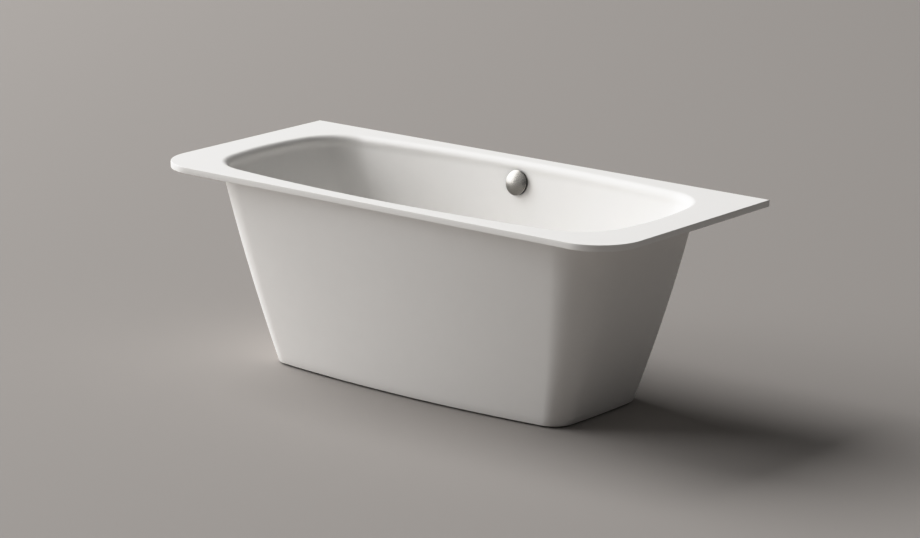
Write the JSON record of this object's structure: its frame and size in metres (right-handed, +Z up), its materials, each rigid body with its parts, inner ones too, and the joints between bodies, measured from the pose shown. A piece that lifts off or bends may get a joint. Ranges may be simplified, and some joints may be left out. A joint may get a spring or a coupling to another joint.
{
  "type": "back-to-wall bathtub",
  "caption": "Back-to-wall bathtub with a flat rim, bowed bowl and tapered skirt on a levelling frame; a rotary overflow knob lifts the plug through a cable.",
  "frame": {"origin": "on the floor under the middle of the rim", "axes": "+X along the tub, +Y towards the wall behind it, +Z up"},
  "size_m": [1.7, 0.75, 0.605],
  "materials": {
    "solid_surface": "satin",
    "adhesive": "matt",
    "plywood": "bare",
    "zinc_plated_steel": "zinc plated",
    "foot_rubber": "matt",
    "seal_rubber": "matt",
    "chromed_brass": "polished",
    "stainless_steel": "plain",
    "brass": "turned",
    "black_plastic": "moulded",
    "grey_plastic": "moulded",
    "white_plastic": "extruded",
    "acetal": "moulded",
    "cable_sheath": "satin"
  },
  "bodies": {
    "tub": {"basin": "solid_surface", "skirt": "solid_surface", "bonding_bead": "adhesive", "base_board": "plywood", "rail_left": "zinc_plated_steel", "rail_right": "zinc_plated_steel", "rail_screws": "zinc_plated_steel", "rail_nuts": "zinc_plated_steel", "lock_nuts": "zinc_plated_steel", "skirt_stay_front": "zinc_plated_steel", "skirt_stay_left": "zinc_plated_steel", "skirt_stay_right": "zinc_plated_steel", "stay_screws": "zinc_plated_steel", "overflow_inner_seal": "seal_rubber", "overflow_gasket": "seal_rubber", "waste_seal_upper": "seal_rubber", "waste_seal_lower": "seal_rubber", "waste_flange": "stainless_steel", "flange_screws": "stainless_steel", "cover_screws": "stainless_steel", "overflow_flange": "black_plastic", "overflow_body": "grey_plastic", "gear_cover": "grey_plastic", "waste_body": "grey_plastic", "pipe_nut_upper": "grey_plastic", "pipe_nut_lower": "grey_plastic", "cable_clips": "grey_plastic", "trap_nut": "grey_plastic", "outlet_nut": "grey_plastic", "overflow_pipe": "white_plastic", "trap_bend": "white_plastic", "outlet_pipe": "white_plastic", "control_cable": "cable_sheath"},
    "knob": {"overflow_knob": "chromed_brass", "knob_shaft": "brass", "knob_screw": "stainless_steel", "drive_pinion": "acetal"},
    "rack": {"cable_rack": "acetal", "core_wire_upper": "stainless_steel"},
    "plug": {"plug_cap": "chromed_brass", "plug_seal": "seal_rubber", "plug_stem": "brass"},
    "bell_crank": {"lift_lever": "grey_plastic", "lever_shaft": "brass", "crank_arm": "stainless_steel", "crank_pin": "brass"},
    "cable_end": {"cable_end": "acetal", "core_wire_lower": "stainless_steel"},
    "foot_front_left": {"foot_spindle_front_left": "zinc_plated_steel", "foot_pad_front_left": "foot_rubber"},
    "foot_front_right": {"foot_spindle_front_right": "zinc_plated_steel", "foot_pad_front_right": "foot_rubber"},
    "foot_back_left": {"foot_spindle_back_left": "zinc_plated_steel", "foot_pad_back_left": "foot_rubber"},
    "foot_back_right": {"foot_spindle_back_right": "zinc_plated_steel", "foot_pad_back_right": "foot_rubber"}
  },
  "joints": [
    {"name": "knob_turn", "type": "hinge", "parent": "tub", "child": "knob", "pos_m": [0, 0.30467, 0.541], "axis": [0, 0.9748, -0.2232], "range_deg": [0, 90]},
    {"name": "rack_travel", "type": "slide", "parent": "tub", "child": "rack", "axis": [0, -0.2232, -0.9748], "range_m": [0, 0.0126]},
    {"name": "plug_lift", "type": "slide", "parent": "tub", "child": "plug", "axis": [0, 0, 1], "range_m": [0, 0.0099]},
    {"name": "crank_turn", "type": "hinge", "parent": "tub", "child": "bell_crank", "pos_m": [0, 0.022, 0.122], "axis": [-1, 0, 0], "range_deg": [0, 26.01]},
    {"name": "cable_end_travel", "type": "slide", "parent": "tub", "child": "cable_end", "axis": [0, -1, 0], "range_m": [0, 0.0126]},
    {"name": "foot_front_left_height", "type": "slide", "parent": "tub", "child": "foot_front_left", "axis": [0, 0, -1], "range_m": [0, 0.02]},
    {"name": "foot_front_right_height", "type": "slide", "parent": "tub", "child": "foot_front_right", "axis": [0, 0, -1], "range_m": [0, 0.02]},
    {"name": "foot_back_left_height", "type": "slide", "parent": "tub", "child": "foot_back_left", "axis": [0, 0, -1], "range_m": [0, 0.02]},
    {"name": "foot_back_right_height", "type": "slide", "parent": "tub", "child": "foot_back_right", "axis": [0, 0, -1], "range_m": [0, 0.02]}
  ],
  "couplings": [
    {"joint": "rack_travel", "follows": "knob_turn", "m_per_rad": 0.008},
    {"joint": "plug_lift", "follows": "knob_turn", "m_per_rad": 0.0063012},
    {"joint": "crank_turn", "follows": "knob_turn", "ratio": 0.28889},
    {"joint": "cable_end_travel", "follows": "knob_turn", "m_per_rad": 0.008}
  ]
}
